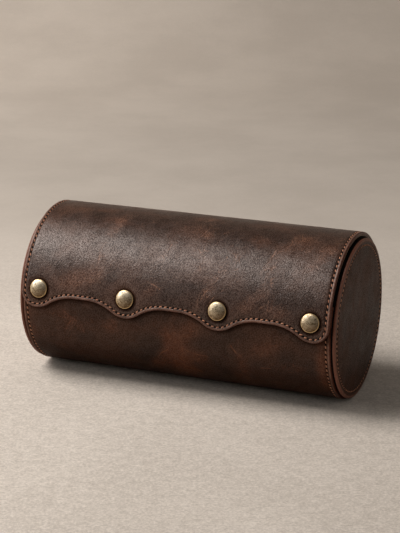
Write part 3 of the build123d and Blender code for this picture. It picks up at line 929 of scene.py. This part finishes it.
def lip_binding(name, angle, way):
    """Leather turned over a lip of the body, from the lining to the outside."""
    middle = (ROOM_RADIUS + WRAP_RADIUS) / 2
    tall = (WRAP_RADIUS - ROOM_RADIUS) / 2
    wide, rounding = 1.6, 1.0
    section = [(0.0, -tall), (0.0, tall)]
    for a in np.radians(np.linspace(90, -90, 15)):
        level = (tall - rounding) * np.sign(round(math.sin(a), 6)) + rounding * math.sin(a)
        section.append((wide - rounding + rounding * math.cos(a), level))
    out, level = np.array(section).T
    rings, hide = [], []
    for x in np.linspace(-BOARD_HALF, BOARD_HALF, 90):
        turn = math.radians(angle) + way * out / WRAP_RADIUS
        rings.append(around(x, turn, middle + level))
        hide.append(np.column_stack([np.full_like(out, x), out + 200, level]))
    return lofted(name, rings, BODY_LEATHER, hide, np.full(len(rings) * len(out), 6.0))


lips = {
    "front_lip_binding": lip_binding("front_lip_hide", FRONT_LIP, 1),
    "back_lip_binding": lip_binding("back_lip_hide", BACK_LIP, -1),
}


def divider(name, place):
    """A suede-covered divider with a rolled, slightly padded top edge."""
    end, dip, half, padding, rolled = 18.0, 7.0, 2.0, 0.25, 1.9
    columns, rows = 56, 14
    bed = arc(0, 0, ROOM_RADIUS - 0.05, 180 - end, 360 + end, columns)
    # the circle through both ends and the lowest point of the top edge
    rise, reach = bed[0][1] - dip, bed[-1][0]
    big = (reach**2 + rise**2) / (2 * rise)
    lean = math.degrees(math.asin(reach / big))
    top = arc(0, dip + big, big, 270 - lean, 270 + lean, columns)
    rings = []
    for face in (1, -1):
        for k in range(rows):
            # rows crowd towards the top edge, where the cover rolls over
            line = top + (bed - top) * (k / (rows - 1)) ** 1.8
            deep = np.linalg.norm(line - top, axis=1)
            roll = np.sqrt(np.clip(1 - (1 - np.clip(deep / rolled, 0, 1)) ** 2, 0, 1))
            swell = padding * np.exp(-((deep - 5) / 4) ** 2)
            x = place + face * (half - padding + swell) * np.maximum(roll, 0.02)
            rings.append(np.column_stack([x, -line[:, 0], AXIS + line[:, 1]]))
    loop = rings[:rows][::-1] + rings[rows:]
    points = np.vstack(loop)
    faces = skin(loop, shut=False)
    last = (len(loop) - 1) * columns
    faces += [(i, i + 1, last + i + 1, last + i) for i in range(columns - 1)]
    return piece(name, points, faces, SUEDE, points[:, [1, 2, 0]])


divider_covers = {n: divider(f"divider_suede_{n}", place) for n, place in DIVIDERS.items()}


# ---------------------------------------------------------------- stitches


def stitch_tree():
    """Stitches along a line: slanted waxed thread, with an awl hole between each two, a dark
    blob of painted shade.
    """
    tree = bpy.data.node_groups.new("saddle_stitches", "GeometryNodeTree")

    def socket(name, kind, value=None, in_out="INPUT"):
        made = tree.interface.new_socket(name, in_out=in_out, socket_type="NodeSocket" + kind)
        if value is not None:
            made.default_value = value

    socket("Geometry", "Geometry")
    for name, size in {
        "Pitch": 3.0, "Thread Length": 1.9, "Thread Width": 0.74, "Thread Height": 0.6,
        "Hole Length": 1.5, "Hole Width": 1.0, "Hole Height": 0.5,
    }.items():
        socket(name, "Float", size * MM)
    socket("Slant", "Float", 0.32)
    socket("Unevenness", "Float", 0.08)
    socket("Seed", "Int", 7)
    socket("Thread", "Material")
    socket("Awl Hole", "Material")
    socket("Geometry", "Geometry", in_out="OUTPUT")

    def node(kind, inputs=None, **settings):
        return add_node(tree, kind, inputs, **settings)

    def number(kind, a, b):
        return node("ShaderNodeMath", {0: a, 1: b}, operation=kind).outputs[0]

    def scaled(vector, by):
        return node("ShaderNodeVectorMath", {0: vector, "Scale": by}, operation="SCALE").outputs[0]

    def geometry(kind, **inputs):
        return node("GeometryNode" + kind, inputs).outputs[0]

    given = node("NodeGroupInput").outputs

    def random(low, high, seed):
        inputs = {2: low, 3: high, "Seed": number("ADD", given["Seed"], float(seed))}
        return node("FunctionNodeRandomValue", inputs, data_type="FLOAT").outputs[1]

    line = geometry("MeshToCurve", Mesh=given["Geometry"])
    evenly = {"Curve": line, "Length": given["Pitch"]}
    line = node("GeometryNodeResampleCurve", evenly, mode="LENGTH").outputs[0]
    tangent = node("GeometryNodeInputTangent").outputs[0]
    named = {"Name": "leather_normal"}
    up = node("GeometryNodeInputNamedAttribute", named, data_type="FLOAT_VECTOR").outputs[0]
    align = "FunctionNodeAlignRotationToVector"
    turn = node(align, {"Vector": up}, axis="Z", pivot_axis="AUTO").outputs[0]
    turn = {"Rotation": turn, "Vector": tangent}
    turn = node(align, turn, axis="X", pivot_axis="Z").outputs[0]

    def placed(part, material, slant_share, rings, offset, seed):
        """The part at every step of the line, or a share of a step further on."""
        ball = geometry("MeshUVSphere", Segments=8, Rings=rings, Radius=0.5)
        ball = geometry("SetShadeSmooth", Geometry=ball)
        slant = number("MULTIPLY", given["Slant"], slant_share)
        slant = number("ADD", slant, random(-0.06, 0.06, seed))
        lean = node("ShaderNodeCombineXYZ", {"Z": slant}).outputs[0]
        own = {"Rotation": turn, "Rotate By": lean}
        own = node("FunctionNodeRotateRotation", own, rotation_space="LOCAL").outputs[0]
        sizes = [given[f"{part} {size}"] for size in ("Length", "Width", "Height")]
        size = node("ShaderNodeCombineXYZ", dict(zip("XYZ", sizes))).outputs[0]
        vary = number("MULTIPLY", random(-1.0, 1.0, seed + 1), given["Unevenness"])
        size = scaled(size, number("ADD", 1.0, vary))
        points = line
        if offset:
            push = scaled(tangent, number("MULTIPLY", given["Pitch"], offset))
            points = geometry("SetPosition", Geometry=line, Offset=push)
        made = geometry("InstanceOnPoints", Points=points, Instance=ball, Rotation=own, Scale=size)
        made = geometry("RealizeInstances", Geometry=made)
        return geometry("SetMaterial", Geometry=made, Material=given[material])

    both = node("GeometryNodeJoinGeometry")
    for part in ("Thread", "Thread", 1.0, 6, 0.0, 1), ("Hole", "Awl Hole", 1.8, 4, 0.5, 3):
        tree.links.new(placed(*part), both.inputs[0])
    tree.links.new(both.outputs[0], node("NodeGroupOutput").inputs[0])
    return tree


STITCHES = stitch_tree()


def stitch(name, lines, pitch, closed=False, **sizes):
    """Sew along lines of (point, surface normal), in millimetres, and give one mesh."""
    mesh = bpy.data.meshes.new(name + "_line")
    edges, start = [], 0
    for points, _ in lines:
        edges += [(start + i, start + i + 1) for i in range(len(points) - 1)]
        if closed:
            edges.append((start + len(points) - 1, start))
        start += len(points)
    points, normals = (np.vstack(part) for part in zip(*lines))
    mesh.from_pydata((points * MM).tolist(), edges, [])
    store(mesh, "leather_normal", normals)
    made = added(name, mesh)
    sewing = made.modifiers.new("sewing", "NODES")
    sewing.node_group = STITCHES
    values = {"Pitch": pitch * MM, "Thread": THREAD, "Awl Hole": HOLE}
    values.update((key.replace("_", " "), size * MM) for key, size in sizes.items())
    for item in STITCHES.interface.items_tree:
        if item.in_out == "INPUT" and item.name in values:
            sewing[item.identifier] = values[item.name]
    done = modified(made)
    made.modifiers.remove(sewing)
    made.data = done
    done.name = name
    return made


def facing_out(angles):
    """Unit normals of the roll at angles in radians."""
    return np.stack([0 * angles, -np.cos(angles), np.sin(angles)], -1)


def sew_sheet(name, sides, radius):
    """Stitches a fixed way in from the cut edge of a sheet, in a whole number of steps."""
    outline = outline_of(sides)
    line = outline + inward(outline) * SIDE_STITCH
    length = running(line)[-1]
    count = round(length / STITCH_PITCH)
    step = length / count
    flat = points_at(line, np.linspace(step / 2, length - step / 2, (count - 1) * 4 + 1))
    angles = flat[:, 1] / radius
    points = around(flat[:, 0], angles, radius - STITCH_DEPTH)
    return stitch(name, [(points, facing_out(angles))], step)


front_stitches = sew_sheet("flap_front_stitches", front_sides(FLAP_RADIUS, 500, 900), FLAP_RADIUS)
rear_stitches = sew_sheet("flap_rear_stitches", rear_sides(FLAP_RADIUS, 200, 700), FLAP_RADIUS)

wrap_lines = []
for side in SIDES.values():
    angles = np.radians(np.linspace(BACK_LIP + 2, 360 + FRONT_LIP - 2, 600))
    points = around(side * (WRAP_HALF - WRAP_STITCH), angles, WRAP_RADIUS - STITCH_DEPTH)
    points[:, 2] = np.maximum(points[:, 2], STITCH_FLOOR)
    wrap_lines.append((points, facing_out(angles)))
wrap_stitches = stitch("body_stitches", wrap_lines, STITCH_PITCH)

facing_sizes = {
    "Thread_Length": 1.7, "Thread_Width": 0.78, "Thread_Height": 0.56,
    "Hole_Length": 1.1, "Hole_Width": 0.6, "Hole_Height": 0.3,
}
facing_stitches = {}
for name, side in SIDES.items():
    points = around(side * (FACING_OUTER - FACING_STITCH_DEPTH), circle(720), FACING_STITCH)
    lines = [(points, np.tile([side, 0.0, 0.0], (len(points), 1)))]
    facing_stitches[name] = stitch(
        f"facing_stitches_{name}", lines, FACING_PITCH, closed=True, **facing_sizes
    )


# ---------------------------------------------------------------- cushions


def cushion_start(place):
    """An oval cushion a little smaller than its room, before it is filled."""
    half, wide, tall = 25.9, 28.3, 25.3
    turns = circle(40)
    rings = []
    for k in np.linspace(-1, 1, 15):
        shrink = max((1 - abs(k) ** 5) ** 0.32, 0.55)
        rings.append(np.stack([
            np.full_like(turns, place + k * half),
            wide * shrink * np.cos(turns),
            AXIS + CUSHION_LEVEL + tall * shrink * np.sin(turns),
        ], -1))
    return np.vstack(rings), skin(rings)


def remake(obj, kind, **settings):
    """Put an object through one modifier, and keep the mesh that it makes."""
    modifier = obj.modifiers.new("shape", kind)
    for key, value in settings.items():
        setattr(modifier, key, value)
    mesh = modified(obj)
    obj.modifiers.remove(modifier)
    obj.data = mesh


def places(mesh):
    """The points of a mesh, in metres."""
    flat = np.zeros(len(mesh.vertices) * 3)
    mesh.vertices.foreach_get("co", flat)
    return flat.reshape(-1, 3)


def fill(obj, place, most):
    """Fill a cushion by cloth simulation, held at its two end seams. No point moves further
    than the most."""
    scene, mesh = bpy.context.scene, obj.data
    rest = places(mesh)
    pins = obj.vertex_groups.new(name="seams")
    away = np.abs(np.abs(rest[:, 0] * 1000 - place) - CUSHION_SEAM)
    pins.add(np.nonzero(away < 2.2)[0].tolist(), 1.0, "REPLACE")
    cloth = obj.modifiers.new("filling", "CLOTH")
    for key, value in {
        "quality": 6, "use_pressure": True, "uniform_pressure_force": 4.0,
        "tension_stiffness": 20, "compression_stiffness": 12, "bending_stiffness": 2.0,
        "vertex_group_mass": "seams",
    }.items():
        setattr(cloth.settings, key, value)
    cloth.settings.effector_weights.gravity = 0
    cloth.point_cache.frame_start, cloth.point_cache.frame_end = 1, 20
    for frame_number in range(1, 21):
        scene.frame_set(frame_number)
    filled = obj.evaluated_get(bpy.context.evaluated_depsgraph_get())
    shift = places(filled.to_mesh()) - rest
    filled.to_mesh_clear()
    obj.modifiers.remove(cloth)
    scene.frame_set(1)
    size = np.linalg.norm(shift, axis=1)
    shift *= np.minimum(1, most / np.maximum(size, 1e-9))[:, None]
    mesh.vertices.foreach_set("co", (rest + shift).ravel())
    mesh.update()
    obj.vertex_groups.clear()


def welted(name, pad, place, size=0.75):
    """A thin welt round each end seam of a cushion."""
    tree = BVHTree.FromObject(pad, bpy.context.evaluated_depsgraph_get())
    across = np.array((1, 0, 0))
    turns, sides = circle(72), circle(8)
    points, faces = [], []
    for side in SIDES.values():
        start = len(points)
        centre = Vector((place + side * CUSHION_SEAM, 0, AXIS + CUSHION_LEVEL)) * MM
        for a in turns:
            way = Vector((0, math.cos(a), math.sin(a)))
            hit = np.array(tree.ray_cast(centre, way)[0] * 1000)
            for t in sides:
                points.append(hit + size * (math.cos(t) * np.array(way) + math.sin(t) * across))
        n, m = len(turns), len(sides)
        for i in range(n):
            a, b = start + i * m, start + (i + 1) % n * m
            faces += [(a + k, a + (k + 1) % m, b + (k + 1) % m, b + k) for k in range(m)]
    points = np.array(points)
    return piece(name, points, faces, SUEDE, points, sharp=80)


cushions, welts = {}, {}
for name, place in CUSHIONS.items():
    pad = piece(f"cushion_suede_{name}", *cushion_start(place), SUEDE)
    remake(pad, "REMESH", mode="VOXEL", voxel_size=4.5 * MM)
    fill(pad, place, 1.6 * MM)
    remake(pad, "SUBSURF", levels=1, render_levels=1)
    pad.data.shade_smooth()
    store(pad.data, "hide_place", places(pad.data))
    pad.data.materials.clear()
    pad.data.materials.append(SUEDE)
    cushions[name] = pad
    welts[name] = welted(f"cushion_welts_{name}", pad, place)


# ---------------------------------------------------------------- riding


def along_bend(angle, reach):
    """Two points on the line that touches the roll at an angle, and a reach either way."""
    angle = math.radians(angle)
    at = around(0.0, angle, FLAP_RADIUS)
    way = np.array([0.0, math.sin(angle), math.cos(angle)])
    return tuple((at - way * reach) * MM), tuple((at + way * reach) * MM)


front_side, back_side = along_bend(FOLD, 20.0)
for obj in (flap_front, front_lining, front_stitches):
    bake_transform(obj)
up_side, down_side = along_bend(BACK_LIP, 8.0)
for obj in (flap_rear, rear_lining, rear_stitches):
    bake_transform(obj)

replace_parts(flap_front, "flap_front_leather", "flap_leather")
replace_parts(flap_rear, "hinge_strip")
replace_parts(front_lining, "flap_front_lining", "flap_lining")
caps = stud_caps()
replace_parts(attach(caps, "flap_front"), "snap_caps")
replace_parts(rear_lining, "hinge_strip_lining")

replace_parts(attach(wrap, "tub"), "outer_wrap")
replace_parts(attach(body_lining, "tub"), "body_lining")
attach(wrap_stitches, "tub")
for name, lip in lips.items():
    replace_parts(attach(lip, "tub"), name)
for name in SIDES:
    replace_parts(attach(facings[name], "tub"), f"end_facing_{name}")
    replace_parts(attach(end_linings[name], "tub"), f"end_lining_{name}")
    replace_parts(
        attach(divider_covers[name], "tub"), f"divider_cover_{name}", f"divider_board_{name}"
    )
    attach(facing_stitches[name], "tub")
for name, pad in cushions.items():
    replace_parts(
        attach(pad, f"cushion_{name}"),
        f"cushion_pad_{name}", f"cushion_sleeve_{name}", f"cushion_ends_{name}",
    )
    welts[name].parent = pad

kept = {
    "body_board": BOARD, "end_board_left": SHADE_BLACK_BOARD, "end_board_right": SHADE_BLACK_BOARD,
    "snap_sockets": BRASS, "snap_studs": BRASS, "snap_posts": BRASS,
}
for node, material in kept.items():
    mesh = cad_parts[node].data
    mesh.materials.clear()
    mesh.materials.append(material)


# ---------------------------------------------------------------- studio


def plain_backdrop():
    """Sized plaster, finer far off, with painted light in its colour: lighter on the side of the
    key lamp, a little darker just behind the roll and lighter again far off.
    """
    f = Finish("taupe_backdrop")
    where = f.place()
    across, away, _ = f.node("SeparateXYZ", {0: where}).outputs
    cloud = f.noise(where, 9, 5.0, 0.6)
    near = f.steps(away, 0.0, 0.35, 1.0, 0.12)
    # painted light: lighter towards the key lamp's side and, far off, lighter where the lamps reach
    # less
    plain = f.blend(f.steps(across, -0.16, 0.16), srgb(223, 213, 202), srgb(214, 204, 193))
    plain = f.blend(f.steps(away, 0.1, 0.36), plain, srgb(202, 192, 181))
    far = f.blend(f.steps(across, -0.3, 0.24), srgb(241, 228, 214), srgb(217, 205, 192))
    far = f.blend(f.steps(away, 1.12, 1.4), far, srgb(216, 204, 191))
    plain = f.blend(f.steps(away, 0.4, 1.05), plain, far)
    speckle = f.mixed((f.noise(where, 640, 5.0, 0.75), 0.7), (f.noise(where, 190, 4.0, 0.65), 0.3))
    specks = f.times(f.number("SUBTRACT", speckle, 0.5), f.times(near, 2.2))
    tone = f.plus(f.steps(cloud, 0.3, 0.7, 0.44, 0.56), specks)
    shade = f.blend(f.steps(tone, 0.1, 0.9), srgb(206, 204, 202), srgb(255, 255, 255))
    colour = f.blend(1.0, plain, shade, "MULTIPLY")
    normal = f.bump(f.times(speckle, near), 0.6 * MM, 0.5)
    return f.finish(colour, 0.85, Normal=normal, Specular_IOR_Level=0.2)


def backdrop():
    """Floor that curves up behind the roll."""
    near, far, curve, wall, half = -8000.0, 800.0, 850, 3500.0, 6000.0
    line = [(near, 0.0), (far, 0.0)]
    for a in np.radians(np.linspace(5, 90, 18)):
        line.append((far + curve * math.sin(a), curve - curve * math.cos(a)))
    line.append((far + curve, wall))
    rings = [np.array([[x, y, z] for x in (-half, half)]) for y, z in line]
    mesh = bpy.data.meshes.new("backdrop")
    faces = skin(rings, shut=False)
    mesh.from_pydata((np.vstack(rings) * MM).tolist(), [], faces)
    mesh.shade_smooth()
    mesh.materials.append(plain_backdrop())
    made = added("backdrop", mesh)
    made.rotation_euler = (0, 0, 0.38)


backdrop()


def lamp(name, where, size, watts, colour, turn=0.0):
    """A soft box that faces the roll, turned in its own plane by some degrees."""
    light = bpy.data.lights.new(name, "AREA")
    light.shape, light.size, light.size_y = "RECTANGLE", size[0], size[1]
    light.energy, light.color = watts, colour
    made = added(name, light)
    made.location = where
    facing = (Vector((0, 0, 0.05)) - Vector(where)).to_track_quat("-Z", "Y")
    made.rotation_euler = (facing @ Quaternion((0, 0, 1), math.radians(turn))).to_euler()


WARM = (1.0, 0.965, 0.935)
lamp("key", (-0.775, -0.276, 1.087), (0.88, 0.72), 20.3, WARM, turn=56.8)
lamp("side", (-1.25, -0.85, 0.62), (0.6, 0.6), 5.2, WARM)
lamp("fill", (1.6, -0.2, 0.8), (1.2, 1.0), 1.5, (1.0, 0.97, 0.94))

world = bpy.data.worlds.new("studio")
world.use_nodes = True
sky = world.node_tree.nodes["Background"].inputs
sky["Color"].default_value = (1.0, 0.98, 0.95, 1)
sky["Strength"].default_value = 0.16
bpy.context.scene.world = world

camera = bpy.data.cameras.new("camera")
camera.lens, camera.sensor_width = 119.22, 36.0
camera.clip_start, camera.clip_end = 0.05, 20.0
eye = added("camera", camera)
azimuth, elevation, away = 0.382, 0.302, 1.0369
aim = Vector((-0.00137, 0.0, 0.06583))
level = math.cos(elevation)
back = Vector((math.sin(azimuth) * level, -math.cos(azimuth) * level, math.sin(elevation)))
eye.location = aim + back * away
eye.rotation_euler = (-back).to_track_quat("-Z", "Y").to_euler()
bpy.context.scene.camera = eye
bpy.context.scene.view_settings.view_transform = "Standard"
